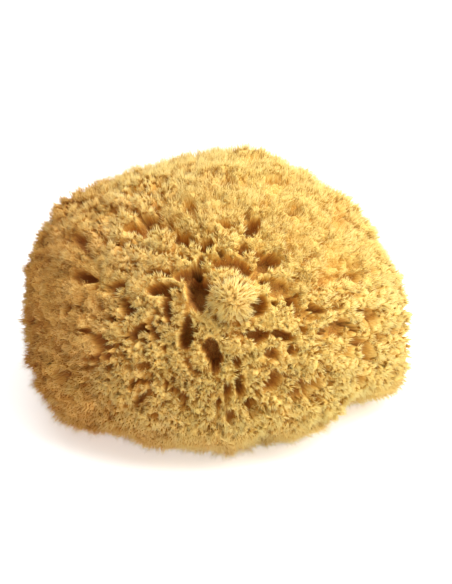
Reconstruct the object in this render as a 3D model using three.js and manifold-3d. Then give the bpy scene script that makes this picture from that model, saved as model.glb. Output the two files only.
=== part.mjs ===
// A natural bath sponge: one springy body, grown as a dome of tufts and pits and cut flat where it stood
// on the rock. Millimetres, +Z up. The origin lies on the flat cut, under the middle of the sponge, and
// the side with the deepest pits faces -Y.
import * as THREE from "three";
import { ConvexHull } from "three/addons/math/ConvexHull.js";
import { mergeVertices } from "three/addons/utils/BufferGeometryUtils.js";
import Module from "manifold-3d";

// Driving dimensions, measured over the tips of the tufts
const WIDTH = 164;
const DEPTH = 150;
const HEIGHT = 102;

// The dome is widest at its waist. Below the waist the underside rounds in, and would close UNDERSIDE
// lower down if the flat cut did not end it first.
const WAIST_HEIGHT = 31;
const UNDERSIDE = 41.5;

// Tufts: how many cover the whole form, how far one strays from an even spacing, how far one falls short
// of the form, and how deep the valleys between them run
const TUFT_COUNT = 980;
const TUFT_STRAY = 0.03;
const TUFT_UNEVEN = 2;
const VALLEY_DEPTH = { least: 3.6, most: 5.6 };

// Pits: the cutter that makes one has PIT_SIDES sides. It stands PIT_LIP proud of the form, and flares
// there, so that it also cuts the tufts back from the mouth.
const PIT_SIDES = 7;
const PIT_LIP = 5;
const PIT_FLARE = 1.4;
// A pit's section from its floor to its mouth: shares of the half width, and of the depth
const PIT_SECTION = [
  [0.7, -0.8],
  [1, -0.1],
];

// Places on the form: bearing goes round from the front (-Y) towards +X, and tilt goes up from the waist,
// in degrees. A lobe swells (or dents) the form by rise, and fades over spread degrees.
const LOBES = [
  { bearing: 150, tilt: 58, spread: 14, rise: 3 },
  { bearing: -107, tilt: 29, spread: 16, rise: 2.4 },
  { bearing: -87, tilt: -5, spread: 11, rise: -4 },
  { bearing: -73, tilt: -29, spread: 13, rise: 3.5 },
  { bearing: -142, tilt: 56, spread: 12, rise: -2.2 },
  { bearing: 102, tilt: 21, spread: 14, rise: -2 },
  { bearing: 120, tilt: 43, spread: 10, rise: -1.7 },
  { bearing: 72, tilt: -34, spread: 9, rise: -7 },
  { bearing: 80, tilt: -16, spread: 11, rise: 5 },
  // The large tuft that stands out of the front
  { bearing: 7, tilt: 35, spread: 6.5, rise: 5.5 },
];

// Pits of the front: across and along are the mouth's width and length, and turn leans its length from
// uphill towards +X, in degrees
const FRONT_PITS = [
  { bearing: -5, tilt: 38, across: 8.5, along: 20, turn: -6, depth: 18 },
  { bearing: -9, tilt: 25, across: 5, along: 14, turn: 14, depth: 14 },
  { bearing: 1, tilt: 18, across: 5.5, along: 19, turn: -16, depth: 15 },
  { bearing: 9, tilt: 8, across: 4, along: 12, turn: -3, depth: 11 },
  { bearing: 12, tilt: 1, across: 4.5, along: 9, turn: -3, depth: 11 },
  { bearing: -16, tilt: 32, across: 4.5, along: 10, turn: -12, depth: 12 },
  { bearing: -19, tilt: 38, across: 4, along: 11, turn: 69, depth: 11 },
  { bearing: -17, tilt: 56, across: 5, along: 9, turn: -60, depth: 10 },
  { bearing: -3, tilt: 54, across: 5.5, along: 6.5, turn: 79, depth: 12 },
  { bearing: 11, tilt: 47, across: 8.5, along: 17, turn: -68, depth: 9 },
  { bearing: 27, tilt: 46, across: 7, along: 9, turn: -70, depth: 11 },
  { bearing: 27, tilt: 60, across: 5, along: 16, turn: 48, depth: 13 },
  { bearing: 28, tilt: 37, across: 7, along: 12, turn: -77, depth: 6 },
  { bearing: 32, tilt: 30, across: 6.5, along: 8, turn: 15, depth: 13 },
  { bearing: 17, tilt: 32, across: 5, along: 10, turn: 58, depth: 11 },
  { bearing: 15, tilt: 24, across: 5, along: 12, turn: -72, depth: 10 },
  { bearing: 25, tilt: 22, across: 4, along: 8, turn: -67, depth: 9 },
  { bearing: 19, tilt: 8, across: 5, along: 7, turn: -6, depth: 10 },
  { bearing: 27, tilt: 17, across: 4.5, along: 5, turn: 0, depth: 8 },
  { bearing: 45, tilt: 20, across: 3.5, along: 17, turn: -83, depth: 6 },
  { bearing: 55, tilt: 7, across: 8, along: 10, turn: 0, depth: 9 },
  { bearing: 62, tilt: 30, across: 4.5, along: 7, turn: -64, depth: 7 },
  { bearing: 32, tilt: 4, across: 4.5, along: 14, turn: 60, depth: 9 },
  { bearing: -56, tilt: 32, across: 6, along: 16, turn: 77, depth: 11 },
  { bearing: -72, tilt: 40, across: 6, along: 18, turn: 80, depth: 9 },
  { bearing: -27, tilt: 23, across: 5, along: 8, turn: 51, depth: 10 },
  { bearing: -31, tilt: 29, across: 5, along: 7, turn: -69, depth: 10 },
  { bearing: -40, tilt: 34, across: 5, along: 7, turn: 25, depth: 9 },
  { bearing: -42, tilt: 57, across: 10, along: 18, turn: 65, depth: 8 },
  { bearing: -19, tilt: 70, across: 6, along: 9, turn: -18, depth: 7 },
  { bearing: -37, tilt: 16, across: 5, along: 15, turn: -50, depth: 9 },
];

// Pits of the sides, back and crown: scattered evenly, except within PIT_CLEARANCE degrees of a pit of
// the front
const SCATTERED_PIT_COUNT = 74;
const PIT_STRAY = 0.11;
const PIT_CLEARANCE = 15;
const LOWEST_PIT_TILT = -16;
const SCATTERED_PIT = { across: [5, 8], stretch: [1, 2], depth: [7, 13] };

// Slivers that the cuts leave are closed up to this length
const SHORTEST_EDGE = 0.02;

const SPONGE_YELLOW = new THREE.Color().setRGB(0.86, 0.64, 0.27, THREE.SRGBColorSpace);
const GOLDEN_ANGLE = Math.PI * (3 - Math.sqrt(5));

const wasm = await Module();
wasm.setup();

// A number from 0 to 1 that looks random and is always the same for the same index and draw.
function chance(index, draw) {
  const wave = Math.sin(index * 12.9898 + draw * 78.233) * 43758.5453;
  return wave - Math.floor(wave);
}

function chanceBetween(low, high, index, draw) {
  return THREE.MathUtils.lerp(low, high, chance(index, draw));
}

// The unit vector of a bearing and a tilt given in degrees.
function wayOf({ bearing, tilt }) {
  const round = THREE.MathUtils.degToRad(bearing);
  const up = THREE.MathUtils.degToRad(tilt);
  return new THREE.Vector3(Math.cos(up) * Math.sin(round), -Math.cos(up) * Math.cos(round), Math.sin(up));
}

// Unit vectors spread evenly over a sphere along a golden-angle spiral, each strayed a little.
function spreadWays(count, stray) {
  return Array.from({ length: count }, (_, i) => {
    const z = 1 - (2 * i + 1) / count;
    const flat = Math.sqrt(1 - z * z);
    const way = new THREE.Vector3(flat * Math.cos(i * GOLDEN_ANGLE), flat * Math.sin(i * GOLDEN_ANGLE), z);
    const off = new THREE.Vector3(chance(i, 1) - 0.5, chance(i, 2) - 0.5, chance(i, 3) - 0.5);
    return way.addScaledVector(off, 2 * stray).normalize();
  });
}

const lobes = LOBES.map((lobe) => ({ ...lobe, way: wayOf(lobe) }));

// How far the form's smooth outside lies from the middle of the waist, along a unit vector.
function formRadius(way) {
  const reach = way.z > 0 ? HEIGHT - WAIST_HEIGHT : UNDERSIDE;
  const egg = 1 / Math.hypot((2 * way.x) / WIDTH, (2 * way.y) / DEPTH, way.z / reach);
  const swell = lobes.reduce((sum, lobe) => {
    const off = THREE.MathUtils.radToDeg(way.angleTo(lobe.way)) / lobe.spread;
    return sum + lobe.rise * Math.exp(-off * off);
  }, 0);
  return egg + swell;
}

// The triangles that join points of a unit sphere, each as three places in the list of points.
function sphereTriangles(points) {
  const place = new Map(points.map((point, i) => [point, i]));
  return new ConvexHull().setFromPoints(points).faces.map((face) => {
    const corners = [face.edge, face.edge.next, face.edge.prev];
    return corners.map((edge) => place.get(edge.head().point));
  });
}

// A closed indexed mesh as a solid that can be cut.
function solidOf(geometry) {
  const bare = geometry.clone();
  bare.deleteAttribute("normal");
  bare.deleteAttribute("uv");
  const merged = mergeVertices(bare);
  return new wasm.Manifold(
    new wasm.Mesh({
      numProp: 3,
      vertProperties: new Float32Array(merged.attributes.position.array),
      triVerts: new Uint32Array(merged.index.array),
    }),
  );
}

function geometryOf(solid) {
  const mesh = solid.getMesh();
  const geometry = new THREE.BufferGeometry();
  geometry.setAttribute("position", new THREE.BufferAttribute(new Float32Array(mesh.vertProperties), 3));
  geometry.setIndex(new THREE.BufferAttribute(new Uint32Array(mesh.triVerts), 1));
  return geometry;
}

// The body before its pits: a peak for each tuft, and a low point wherever three tufts meet.
function tuftedBody() {
  const tips = spreadWays(TUFT_COUNT, TUFT_STRAY);
  const valleys = sphereTriangles(tips).map(([a, b, c]) => {
    const across = tips[b].clone().sub(tips[a]);
    return across.cross(tips[c].clone().sub(tips[a])).normalize();
  });
  const ways = [...tips, ...valleys];
  const points = ways.map((way, i) => {
    const short = TUFT_UNEVEN * chance(i, 4);
    const sunk = chanceBetween(VALLEY_DEPTH.least, VALLEY_DEPTH.most, i, 5);
    return way.clone().multiplyScalar(formRadius(way) - (i < TUFT_COUNT ? short : sunk));
  });
  const geometry = new THREE.BufferGeometry().setFromPoints(points);
  geometry.setIndex(sphereTriangles(ways).flat());
  return solidOf(geometry);
}

// The cutter for one pit: a tapered bowl with an oval mouth, sunk square into the form.
function pitCutter({ bearing, tilt, across, along, turn, depth }) {
  const outward = wayOf({ bearing, tilt });
  const uphill = wayOf({ bearing, tilt: tilt + 90 });
  const lengthwise = uphill.clone().applyAxisAngle(outward, THREE.MathUtils.degToRad(-turn));
  const sideways = new THREE.Vector3().crossVectors(outward, lengthwise);
  const profile = [
    new THREE.Vector2(0, -depth),
    ...PIT_SECTION.map(([wide, deep]) => new THREE.Vector2(wide, deep * depth)),
    new THREE.Vector2(PIT_FLARE, PIT_LIP),
    new THREE.Vector2(0, PIT_LIP),
  ];
  const bowl = new THREE.LatheGeometry(profile, PIT_SIDES);
  bowl.scale(across / 2, 1, along / 2);
  const turned = new THREE.Matrix4().makeBasis(sideways, outward, lengthwise);
  const mouth = outward.clone().multiplyScalar(formRadius(outward));
  return solidOf(bowl.applyMatrix4(turned.setPosition(mouth)));
}

// The pits that the front does not show, at even steps over the rest of the form.
function scatteredPits() {
  const taken = FRONT_PITS.map(wayOf);
  const clearance = THREE.MathUtils.degToRad(PIT_CLEARANCE);
  const ways = spreadWays(SCATTERED_PIT_COUNT, PIT_STRAY);
  const pits = ways.map((way, i) => {
    const across = chanceBetween(...SCATTERED_PIT.across, i, 6);
    return {
      way,
      bearing: THREE.MathUtils.radToDeg(Math.atan2(way.x, -way.y)),
      tilt: THREE.MathUtils.radToDeg(Math.asin(way.z)),
      across,
      along: across * chanceBetween(...SCATTERED_PIT.stretch, i, 7),
      turn: chanceBetween(-90, 90, i, 8),
      depth: chanceBetween(...SCATTERED_PIT.depth, i, 9),
    };
  });
  return pits.filter(
    (pit) => pit.tilt > LOWEST_PIT_TILT && taken.every((way) => way.angleTo(pit.way) > clearance),
  );
}

// Everything below the flat cut, as one block to take away.
function belowCut() {
  const block = new THREE.BoxGeometry(2 * WIDTH, 2 * DEPTH, HEIGHT);
  return solidOf(block.translate(0, 0, -WAIST_HEIGHT - HEIGHT / 2));
}

// Stretches the finished shape by the few millimetres that its tips fall short of the driving dimensions.
function fitted(geometry) {
  geometry.computeBoundingBox();
  const { min, max } = geometry.boundingBox;
  geometry.translate(-(min.x + max.x) / 2, -(min.y + max.y) / 2, -min.z);
  return geometry.scale(WIDTH / (max.x - min.x), DEPTH / (max.y - min.y), HEIGHT / (max.z - min.z));
}

function sponge() {
  const cutters = [...FRONT_PITS, ...scatteredPits()].map(pitCutter);
  const pitted = cutters.reduce((body, cutter) => body.subtract(cutter), tuftedBody());
  // A tip that two pits cut loose falls away, and the largest body is the sponge.
  const bodies = pitted.subtract(belowCut()).decompose();
  const [whole] = bodies.sort((a, b) => b.volume() - a.volume());
  const material = new THREE.MeshStandardMaterial({ color: SPONGE_YELLOW, roughness: 0.95, metalness: 0 });
  const mesh = new THREE.Mesh(fitted(geometryOf(whole.simplify(SHORTEST_EDGE))), material);
  mesh.name = "sponge";
  return mesh;
}

const part = new THREE.Group();
part.add(sponge());

export default part;
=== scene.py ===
"""A natural bath sponge: a pitted, tufted body under a coat of bristle bundles.

Lengths are millimetres until a mesh is made, when MM turns them into metres.
"""
import logging
import math
from dataclasses import dataclass, field
from enum import Enum, IntEnum

import bpy
import numpy as np
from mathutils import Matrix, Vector


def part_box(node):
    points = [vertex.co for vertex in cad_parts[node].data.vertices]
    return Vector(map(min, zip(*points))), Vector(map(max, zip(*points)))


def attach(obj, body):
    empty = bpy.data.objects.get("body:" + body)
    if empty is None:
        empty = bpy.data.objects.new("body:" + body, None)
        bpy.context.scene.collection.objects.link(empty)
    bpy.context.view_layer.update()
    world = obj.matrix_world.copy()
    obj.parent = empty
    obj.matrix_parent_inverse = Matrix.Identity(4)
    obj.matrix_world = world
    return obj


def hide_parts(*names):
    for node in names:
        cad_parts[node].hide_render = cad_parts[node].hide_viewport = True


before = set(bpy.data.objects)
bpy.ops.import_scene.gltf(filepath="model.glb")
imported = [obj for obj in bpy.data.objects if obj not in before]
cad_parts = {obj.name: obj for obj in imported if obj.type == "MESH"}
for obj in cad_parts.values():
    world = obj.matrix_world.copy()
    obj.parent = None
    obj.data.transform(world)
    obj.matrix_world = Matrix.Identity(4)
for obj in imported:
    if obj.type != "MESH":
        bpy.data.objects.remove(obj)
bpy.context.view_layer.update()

log = logging.getLogger("sponge")
Array = np.ndarray
Colour = tuple[float, float, float]

MM = 0.001
SPONGE_NODE = "sponge"
SPONGE_BODY = "root"
MAP_NAME = "OFBake"
GOLDEN_ANGLE = math.pi * (3 - math.sqrt(5))
WHITE = (1.0, 1.0, 1.0, 1.0)

# Height of the sponge's waist above the flat cut
WAIST = 31.0

# How far a unit vector climbs when it counts as upright, and as level
NEARLY_UPRIGHT = 0.9
NEARLY_LEVEL = 1e-9

# Numbers that stir an index or a lattice corner up until it looks random
INDEX_STIR = 12.9898
DRAW_STIR = 78.233
WAVE_STIR = 43758.5453
CORNER_STIR = (374761393, 668265263, 1103515245)
SEED_STIR = 1274126177
LOW_BITS = 0xFFFFFFFF

# Seeds of the noise that moves points sideways, one for each axis
WARP_SEEDS = (1, 2, 3)
FINE_WARP_SEEDS = (4, 5, 6)


class Pattern(IntEnum):
    """The seeds of the other noise patterns."""

    CLUMP = 4
    GRAIN = 5
    LUMP = 6
    PORE = 9
    RIM = 11
    MOTTLE = 21
    HUE = 22
    TONE = 23
    SHAG = 24
    STREAK = 25
    PATCH = 31


def unit(vectors: Array) -> Array:
    """Scales each row to length one.

    Args:
        vectors: rows of three numbers.

    Returns:
        The unit vectors, one a row.
    """
    return vectors / np.linalg.norm(vectors, axis=-1, keepdims=True)


def along(first: Array, second: Array) -> Array:
    """Returns the dot product of each pair of rows, as a column."""
    return (first * second).sum(axis=1, keepdims=True)


def fade(low: float, high: float, values: Array) -> Array:
    """Climbs smoothly from 0 to 1 as the values go from low to high: 3 t squared minus 2 t cubed.

    Args:
        low: value where the climb starts.
        high: value where it ends.
        values: numbers to look up.

    Returns:
        The share climbed, from 0 to 1.
    """
    share = np.clip((values - low) / (high - low), 0, 1)
    return share * share * (3 - 2 * share)


def chance(index: Array, draw: int) -> Array:
    """Gives numbers that look random and never change: the fraction of a large sine of each index.

    Args:
        index: whole numbers.
        draw: which of the many draws for the same index.

    Returns:
        Numbers from 0 to 1.
    """
    wave = np.sin(index * INDEX_STIR + draw * DRAW_STIR) * WAVE_STIR
    return wave - np.floor(wave)


def spread_ways(count: int, stray: float) -> Array:
    """Spreads unit vectors evenly over a sphere along a golden-angle spiral, each strayed a little.

    Args:
        count: how many.
        stray: how far each one strays, as a share of the sphere's radius.

    Returns:
        The unit vectors, one a row.
    """
    index = np.arange(count)
    z = 1 - (2 * index + 1) / count
    flat = np.sqrt(1 - z * z)
    turn = index * GOLDEN_ANGLE
    ways = np.stack((flat * np.cos(turn), flat * np.sin(turn), z), axis=1)
    off = np.stack([chance(index, draw) - 0.5 for draw in (1, 2, 3)], axis=1)
    return unit(ways + 2 * stray * off)


def tangents(ways: Array) -> tuple[Array, Array]:
    """Finds two unit vectors square to each way and to each other.

    Args:
        ways: unit vectors, one a row.

    Returns:
        The two sets of unit vectors.
    """
    steep = np.abs(ways[:, 2:]) > NEARLY_UPRIGHT
    helper = np.where(steep, np.array((1.0, 0.0, 0.0)), np.array((0.0, 0.0, 1.0)))
    first = unit(np.cross(helper, ways))
    return first, np.cross(ways, first)


def lattice(cells: Array, seed: int) -> Array:
    """Mixes the three whole numbers of each lattice corner into a number from 0 to 1.

    Args:
        cells: whole numbers, three a row.
        seed: picks another pattern.

    Returns:
        One number for each row.
    """
    mixed = (cells @ np.array(CORNER_STIR) + seed * SEED_STIR) & LOW_BITS
    mixed = ((mixed ^ (mixed >> 13)) * SEED_STIR) & LOW_BITS
    return (mixed ^ (mixed >> 16)) / LOW_BITS


def noise(points: Array, spacing: float, seed: int) -> Array:
    """Gives smooth random numbers in space: lattice values blended across each cell by smooth steps.

    Args:
        points: places in millimetres, one a row.
        spacing: size of a lattice cell in millimetres.
        seed: picks another pattern.

    Returns:
        Numbers from -1 to 1, one for each point.
    """
    scaled = points / spacing
    corner = np.floor(scaled).astype(np.int64)
    share = scaled - corner
    share = share * share * (3 - 2 * share)
    total = np.zeros(len(points))
    for step in np.ndindex(2, 2, 2):
        weight = np.where(step, share, 1 - share).prod(axis=1)
        total += weight * lattice(corner + np.array(step), seed)
    return 2 * total - 1


@dataclass(frozen=True)
class Place:
    """A place on the form, in degrees: bearing from the front (-Y) towards +X, tilt up from the waist."""

    bearing: float
    tilt: float

    def way(self, further_up: float = 0.0) -> Array:
        """Finds the unit vector from the middle of the waist to the place.

        Args:
            further_up: degrees added to the tilt.

        Returns:
            The unit vector.
        """
        turn = math.radians(self.bearing)
        up = math.radians(self.tilt + further_up)
        return np.array((math.cos(up) * math.sin(turn), -math.cos(up) * math.cos(turn), math.sin(up)))


@dataclass(frozen=True)
class Lobe(Place):
    """A bell over the form: a swelling, or a dent where rise is negative, fading over spread degrees."""

    spread: float
    rise: float

    def over(self, ways: Array) -> Array:
        """Measures the bell along each way: the rise, times e to minus the square of the angle over spread.

        Args:
            ways: unit vectors, one a row.

        Returns:
            The height of the bell along each.
        """
        off = np.degrees(np.arccos(np.clip(ways @ self.way(), -1, 1))) / self.spread
        return self.rise * np.exp(-off * off)


@dataclass(frozen=True)
class Pit(Place):
    """A hollow with an oval mouth: across and along are its width and length, turn leans its length from
    uphill towards +X, in degrees."""

    across: float
    along: float
    turn: float
    depth: float

    def sides(self) -> tuple[Array, Array]:
        """Finds which ways the mouth lies: uphill, leaned by the turn, and square to that.

        Returns:
            The unit vectors across and along the mouth.
        """
        outward = self.way()
        uphill = self.way(90.0)
        turn = math.radians(-self.turn)
        lengthwise = uphill * math.cos(turn) + np.cross(outward, uphill) * math.sin(turn)
        return np.cross(outward, lengthwise), lengthwise


LOBES = (
    Lobe(150, 58, 14, 3),
    Lobe(-107, 29, 16, 2.8),
    Lobe(-111, 37, 8, 2),
    Lobe(-84, 4, 9, -4.3),
    Lobe(-73, -29, 13, 3.5),
    Lobe(-55, -15, 11, 4.5),
    Lobe(-142, 56, 12, -2.2),
    Lobe(102, 21, 14, -1.6),
    Lobe(120, 43, 10, -1.7),
    Lobe(121, 51, 4, 2.6),
    Lobe(108, 43, 4, 2.6),
    Lobe(75, -14, 11, 8),
    Lobe(66, -23, 6, -6),
    Lobe(55, -15, 7, -10),
    Lobe(58, -30, 9, -9),
    Lobe(19, -24, 5.5, -7),
    Lobe(7, -25, 5, 2.5),
)
BIG_TUFT = Lobe(7, 35, 6, 7)

# Where the sponge is coarser than elsewhere, and, below zero, finer
COARSE_PATCHES = (
    Lobe(2, 22, 34, 0.6),
    Lobe(38, 8, 26, 0.5),
    Lobe(62, 46, 30, -0.4),
    Lobe(10, 80, 30, -0.3),
    Lobe(-48, 10, 26, -0.15),
)

# Where the pits of the front take the place of holes between tufts
FRONT = Lobe(0, 30, 36, 1)

# Where the crowns are parted into small blunt knobs by narrow cracks
KNOB_PATCHES = (
    Lobe(-33, 16, 23, 1.0),
    Lobe(-2, 1, 20, 0.9),
    Lobe(22, 8, 16, 0.7),
)

# The left, low side, which the lamps at the upper right leave in shade: painted shade makes its fibres
# darker and warmer in colour
SHADED_SIDE = Place(-100, -20)

# The pits and slots of the front, from the deep well in its middle outwards
FRONT_PITS = (
    Pit(-5, 38, 8.5, 20, -6, 18),
    Pit(-12, 43, 4.5, 6.5, 84, 10),
    Pit(-9, 25, 5, 14, 14, 14),
    Pit(1, 18, 5.5, 19, -16, 15),
    Pit(5, 6, 3.5, 8, 0, 9),
    Pit(9, 8, 4, 12, -3, 11),
    Pit(12, 1, 4.5, 9, -3, 11),
    Pit(6, -3, 2.6, 7.5, 1, 6),
    Pit(-16, 32, 4.5, 10, -12, 12),
    Pit(-19, 38, 4, 11, 69, 11),
    Pit(-17, 56, 5, 9, -60, 10),
    Pit(-23, 57, 3.5, 6, 86, 8),
    Pit(-3, 54, 5.5, 6.5, 79, 12),
    Pit(-5, 49, 3.5, 5, -9, 8),
    Pit(11, 47, 8.5, 17, -68, 9),
    Pit(27, 46, 7, 9, -70, 11),
    Pit(23, 49, 3.5, 3.5, 0, 8),
    Pit(17, 52, 4, 5.5, 89, 8),
    Pit(27, 60, 5, 16, 48, 13),
    Pit(28, 37, 7, 12, -77, 6),
    Pit(32, 30, 6.5, 8, 15, 13),
    Pit(38, 28, 3.7, 6, 9, 9),
    Pit(17, 32, 5, 10, 58, 11),
    Pit(15, 24, 5, 12, -72, 10),
    Pit(25, 22, 4, 8, -67, 9),
    Pit(20, 17, 4, 5, -30, 8),
    Pit(27, 17, 4.5, 5, 0, 8),
    Pit(32, 22, 3.5, 4, -75, 7),
    Pit(19, 8, 5, 7, -6, 10),
    Pit(26, 3, 4, 6, -9, 9),
    Pit(8, 16, 3.5, 5, -9, 8),
    Pit(-5, 13, 4, 4.5, -68, 8),
    Pit(45, 20, 3.5, 17, -83, 6),
    Pit(55, 7, 8, 10, 0, 8),
    Pit(64, 16, 5, 5.5, -35, 6),
    Pit(62, 30, 4.5, 7, -64, 7),
    Pit(46, 34, 3.4, 5, -79, 6),
    Pit(40, 48, 4.5, 5.5, -58, 6),
    Pit(32, 4, 4.5, 14, 60, 9),
    Pit(-56, 32, 6, 16, 77, 11),
    Pit(-72, 40, 6, 18, 80, 9),
    Pit(-27, 23, 5, 8, 51, 10),
    Pit(-20, 24, 3, 9.5, -34, 8),
    Pit(-31, 29, 5, 7, -69, 10),
    Pit(-37, 25, 3.7, 6, 90, 9),
    Pit(-40, 34, 5, 7, 25, 9),
    Pit(-42, 27, 3.7, 5.5, -36, 7),
    Pit(-42, 57, 10, 18, 65, 8),
    Pit(-19, 70, 6, 9, -18, 7),
    Pit(-85, 71, 8, 8, 39, 5),
    Pit(-37, 16, 5, 15, -50, 9),
    Pit(-22, 13, 2.6, 7, 80, 6),
    Pit(-22, 3, 2.6, 9, 46, 6),
    Pit(-59, 40, 3.4, 9, 81, 7),
    Pit(-75, 0, 2.8, 26, 61, 6),
)

# Small holes and slits: first those of the left and the foot, then the dimples of the right and the crown
FINE_PITS = (
    Pit(-61, 14, 7, 19, 60, 4),
    Pit(-42, 11, 3, 4.5, 71, 6),
    Pit(-59, 4, 3, 6, -79, 6),
    Pit(-40, 8, 1.8, 7, 75, 5),
    Pit(-47, 3, 1.4, 13, 68, 4),
    Pit(-43, 1, 1.4, 6.5, 62, 4),
    Pit(-51, 23, 3, 3.5, -49, 6),
    Pit(-85, 41, 5, 7, 46, 6),
    Pit(-46, 18, 1.8, 5, 56, 6),
    Pit(-31, 9, 2, 3.2, -52, 6),
    Pit(-31, 0, 1.6, 3.6, 43, 6),
    Pit(-23, 1, 2, 7, 29, 7),
    Pit(-19, -3, 2, 3.8, 79, 6),
    Pit(-9, 3, 2, 5.2, -4, 7),
    Pit(2, 2, 2.3, 5, -9, 8),
    Pit(27, 5, 2.2, 20, 69, 7),
    Pit(34, -2, 2, 6, -67, 4),
    Pit(69, 59, 3, 4, -52, 5),
    Pit(77, 52, 6, 4, -35, 4),
    Pit(76, 44, 6, 4, 47, 4.5),
    Pit(58, 45, 2.5, 5.5, 62, 5),
    Pit(39, 48, 3, 4.5, -70, 7),
    Pit(47, 49, 2.5, 4, 36, 5),
    Pit(54, 38, 3, 6, -73, 4.5),
    Pit(59, 35, 2.5, 3.5, -63, 5),
    Pit(48, 37, 1.5, 5.5, -72, 5),
    Pit(53, 27, 2, 5, -67, 4.5),
    Pit(48, 25, 2, 3.5, -83, 5),
    Pit(65, 20, 2, 6, -64, 4),
    Pit(-35, 78, 5, 5.5, 71, 6),
    Pit(-48, 68, 5, 4, 59, 4.5),
    Pit(48, 73, 4, 2.5, -57, 5),
    Pit(53, 66, 4, 11, -76, 4.5),
    Pit(72, 58, 3.5, 8, -51, 4.5),
    Pit(-62, 58, 4, 4.5, 70, 6),
)


@dataclass
class SpongeForm:
    """The smooth outside of the sponge: half an egg over a shallower half, cut flat underneath."""

    width: float
    depth: float
    height: float
    waist: float = WAIST
    underside: float = 41.5

    def middle(self) -> Array:
        """Returns the middle of the waist, from which every way starts."""
        return np.array((0.0, 0.0, self.waist))

    def radius(self, ways: Array) -> Array:
        """Measures the form along each way: an ellipsoid's radius plus a bell of every lobe's rise.

        Args:
            ways: unit vectors, one a row.

        Returns:
            The distance from the middle of the waist to the form.
        """
        reach = np.where(ways[:, 2] > 0, self.height - self.waist, self.underside)
        halves = np.array((self.width / 2, self.depth / 2))
        shares = np.column_stack((ways[:, :2] / halves, ways[:, 2] / reach))
        total = 1 / np.linalg.norm(shares, axis=1)
        for lobe in (*LOBES, BIG_TUFT):
            total += lobe.over(ways)
        return total

    def points(self, ways: Array) -> Array:
        """Returns the form's point along each way."""
        return self.middle() + self.radius(ways)[:, None] * ways

    def to_cut(self, ways: Array) -> Array:
        """Returns the distance along each way to the flat cut, without end where the way doesn't meet it."""
        down = np.maximum(-ways[:, 2], NEARLY_LEVEL)
        return self.waist / down


@dataclass
class TuftField:
    """The tufts that cover the form, parted by cracks of every depth, with holes where three tufts meet."""

    count: int
    stray: float
    deepest_crack: float
    narrow_crack: float
    wide_crack: float
    hole_share: float
    small_hole: float
    large_hole: float
    shallow_hole: float
    deep_hole: float
    draw: int
    crack_skew: float = 1.3
    crack_floor: float = 0.1
    hole_floor: float = 0.4
    rows_at_once: int = 4096
    seeds: Array = field(init=False)

    def __post_init__(self) -> None:
        """Places the tufts along the spiral."""
        self.seeds = spread_ways(self.count, self.stray)

    def nearest(self, ways: Array) -> tuple[Array, Array]:
        """Finds the three tufts nearest to each way.

        Args:
            ways: unit vectors, one a row.

        Returns:
            The tufts' numbers, nearest first, and how much further off the second and the third are than
            the first, in radians: zero on the crack between two and at the corner of three.
        """
        numbers = []
        gaps = []
        for rows in np.array_split(ways, len(ways) // self.rows_at_once + 1):
            closeness = rows @ self.seeds.T
            three = np.argpartition(-closeness, 2, axis=1)[:, :3]
            angles = np.arccos(np.clip(np.take_along_axis(closeness, three, axis=1), -1, 1))
            order = np.argsort(angles, axis=1)
            numbers.append(np.take_along_axis(three, order, axis=1))
            angles = np.take_along_axis(angles, order, axis=1)
            gaps.append(angles[:, 1:] - angles[:, :1])
        return np.concatenate(numbers), np.concatenate(gaps)

    def sink(self, smooth: Array, middle: Array, coarse: Array) -> Array:
        """Works out how deep the cracks and holes between the tufts go.

        Args:
            smooth: points on or near the form, one a row.
            middle: where the form's ways start.
            coarse: how coarse the sponge is there, from 0 to 1.

        Returns:
            Millimetres below the tufts' crowns.
        """
        radius = np.linalg.norm(smooth - middle, axis=1, keepdims=True)
        numbers, gaps = self.nearest((smooth - middle) / radius)
        gaps = gaps * radius
        cracks = self.cracks(numbers, gaps[:, 0]) * coarse
        return np.maximum(cracks, self.holes(numbers, gaps[:, 1], coarse))

    def cracks(self, numbers: Array, gap: Array) -> Array:
        """Works out how deep the crack between two tufts is: by chance for each pair, fading to its sides.

        Args:
            numbers: the nearest tufts.
            gap: how much further off the second is, in millimetres.

        Returns:
            Millimetres below the tufts' crowns.
        """
        draw = chance(numbers[:, :2], self.draw).sum(axis=1) % 1
        width = self.narrow_crack + (self.wide_crack - self.narrow_crack) * draw
        return self.deepest_crack * draw**self.crack_skew * (1 - fade(self.crack_floor, 1.0, gap / width))

    def holes(self, numbers: Array, gap: Array, coarse: Array) -> Array:
        """Works out how deep the hole is where three tufts meet: some corners have one, of any size.

        Args:
            numbers: the nearest tufts.
            gap: how much further off the third is than the first, in millimetres.
            coarse: how coarse the sponge is there, from 0 to 1, which gives more holes and deeper ones.

        Returns:
            Millimetres below the tufts' crowns.
        """
        draw = chance(numbers, self.draw + 1).sum(axis=1) % 1
        size = np.clip((draw - 1 + self.hole_share * coarse) / self.hole_share, 0, 1)
        width = self.small_hole + (self.large_hole - self.small_hole) * size
        depth = self.shallow_hole + (self.deep_hole - self.shallow_hole) * size
        return np.where(size > 0, depth, 0) * (1 - fade(self.hole_floor, 1.0, gap / width))


def large_tufts() -> TuftField:
    """Returns the tufts that the coarse parts are made of."""
    return TuftField(
        count=980,
        stray=0.055,
        deepest_crack=9.0,
        narrow_crack=2.2,
        wide_crack=5.4,
        hole_share=0.75,
        small_hole=2.6,
        large_hole=7.0,
        shallow_hole=4.0,
        deep_hole=12.0,
        draw=12,
    )


def small_tufts() -> TuftField:
    """Returns the smaller tufts that part the large ones' crowns, and that the fine parts are made of."""
    return TuftField(
        count=2000,
        stray=0.045,
        deepest_crack=4.0,
        narrow_crack=1.5,
        wide_crack=3.6,
        hole_share=0.5,
        small_hole=2.6,
        large_hole=5.6,
        shallow_hole=3.0,
        deep_hole=6.5,
        draw=14,
    )


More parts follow.
